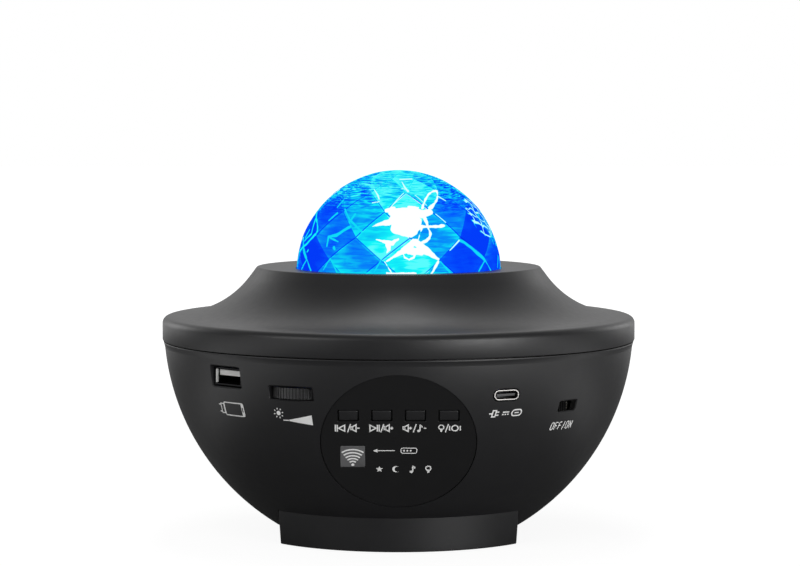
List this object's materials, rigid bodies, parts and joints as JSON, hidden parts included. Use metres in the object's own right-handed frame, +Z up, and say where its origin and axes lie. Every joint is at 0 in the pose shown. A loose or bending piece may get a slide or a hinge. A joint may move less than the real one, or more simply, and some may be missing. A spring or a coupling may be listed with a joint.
{
  "type": "star night light projector",
  "caption": "Bowl-shaped night light with a faceted glowing dome, turning ripple lens, laser, speaker, push buttons, brightness wheel, slide switch and USB sockets.",
  "frame": {"origin": "on the vertical axis of bowl and dome, at the underside of the rubber feet", "axes": "+Z up along the axis of bowl and dome; the control panel, sockets and switch face -Y; +X to the right of someone facing the controls"},
  "size_m": [0.1678, 0.1678, 0.128],
  "materials": {
    "casing": "fine-grained matt moulding",
    "panel": "smooth dark moulding",
    "keys": "satin moulding",
    "inner_black": "matt moulding",
    "window": "smoky infrared window",
    "rubber": "soft pads and surround",
    "screw_steel": "zinc-plated screws",
    "sheet_steel": "pressed and plated sheet",
    "white_plastic": "natural nylon",
    "gold": "plated contacts and brass barrel",
    "board": "solder mask",
    "lamp_board": "white solder mask",
    "pot_case": "phenolic case",
    "can": "sleeved aluminium cans",
    "basket": "pressed steel basket and ferrite ring",
    "paper": "pressed paper cone",
    "fins": "extruded fins",
    "phosphor": "lamp chips",
    "clear": "clear acrylic",
    "dome_glass": "clear faceted acrylic, lit blue from inside",
    "lead_skin": "insulated leads"
  },
  "bodies": {
    "casing": {"bowl_shell": "casing", "top_cover": "casing", "pedestal": "casing", "base_plate": "casing", "control_panel": "panel", "optics_frame": "inner_black", "usb_a_riser": "inner_black", "laser_cap": "inner_black", "usb_c_insert": "inner_black", "ir_receiver": "inner_black", "main_chips": "inner_black", "ir_window": "window", "rubber_feet": "rubber", "speaker_surround": "rubber", "base_screws": "screw_steel", "board_screws": "screw_steel", "speaker_screws": "screw_steel", "frame_screws": "screw_steel", "dome_screws": "screw_steel", "usb_a_shell": "sheet_steel", "usb_c_shell": "sheet_steel", "switch_body": "sheet_steel", "tact_switches": "sheet_steel", "gear_motor": "sheet_steel", "speaker_yoke": "sheet_steel", "usb_a_insert": "white_plastic", "lead_sockets": "white_plastic", "usb_a_contacts": "gold", "laser_module": "gold", "button_board": "board", "left_board": "board", "right_board": "board", "main_board": "board", "led_board": "lamp_board", "dimmer_pot": "pot_case", "capacitors": "can", "speaker_frame": "basket", "speaker_magnet": "basket", "heat_sink": "fins", "led_emitters": "phosphor", "led_lenses": "clear", "dome_lens": "dome_glass", "speaker_leads": "lead_skin", "optics_leads": "lead_skin", "port_leads": "lead_skin"},
    "button_1": {"button_1": "keys", "plunger_1": "white_plastic"},
    "button_2": {"button_2": "keys", "plunger_2": "white_plastic"},
    "button_3": {"button_3": "keys", "plunger_3": "white_plastic"},
    "button_4": {"button_4": "keys", "plunger_4": "white_plastic"},
    "brightness_wheel": {"dimmer_wheel": "keys"},
    "power_knob": {"switch_knob": "keys"},
    "cone": {"speaker_cone": "paper"},
    "ripple": {"ripple_gear": "white_plastic", "ripple_lens": "clear"},
    "pinion": {"motor_shaft": "sheet_steel", "drive_pinion": "white_plastic"}
  },
  "joints": [
    {"name": "button_1_press", "type": "slide", "parent": "casing", "child": "button_1", "axis": [0, 0.9033, 0.4289], "range_m": [0, 0.0005], "stiffness_N_per_m": 900, "springref_m": -0.0003},
    {"name": "button_2_press", "type": "slide", "parent": "casing", "child": "button_2", "axis": [0, 0.9033, 0.4289], "range_m": [0, 0.0005], "stiffness_N_per_m": 900, "springref_m": -0.0003},
    {"name": "button_3_press", "type": "slide", "parent": "casing", "child": "button_3", "axis": [0, 0.9033, 0.4289], "range_m": [0, 0.0005], "stiffness_N_per_m": 900, "springref_m": -0.0003},
    {"name": "button_4_press", "type": "slide", "parent": "casing", "child": "button_4", "axis": [0, 0.9033, 0.4289], "range_m": [0, 0.0005], "stiffness_N_per_m": 900, "springref_m": -0.0003},
    {"name": "brightness_turn", "type": "hinge", "parent": "casing", "child": "brightness_wheel", "pos_m": [-0.03087, -0.06329, 0.056], "axis": [0, 0, 1], "range_deg": [-135, 135]},
    {"name": "power_slide", "type": "slide", "parent": "casing", "child": "power_knob", "axis": [0.7034, 0.7108, 0], "range_m": [0, 0.0042]},
    {"name": "cone_stroke", "type": "slide", "parent": "casing", "child": "cone", "axis": [0, 0, 1], "range_m": [-0.0008, 0.0008], "stiffness_N_per_m": 1200, "deforming": ["speaker_surround"]},
    {"name": "ripple_spin", "type": "hinge", "parent": "casing", "child": "ripple", "pos_m": [0, 0, 0.0835], "axis": [0, 0, 1], "continuous": true},
    {"name": "pinion_spin", "type": "hinge", "parent": "casing", "child": "pinion", "pos_m": [0, 0.0384, 0.0835], "axis": [0, 0, 1], "continuous": true}
  ],
  "couplings": [
    {"joint": "pinion_spin", "follows": "ripple_spin", "ratio": -5}
  ]
}
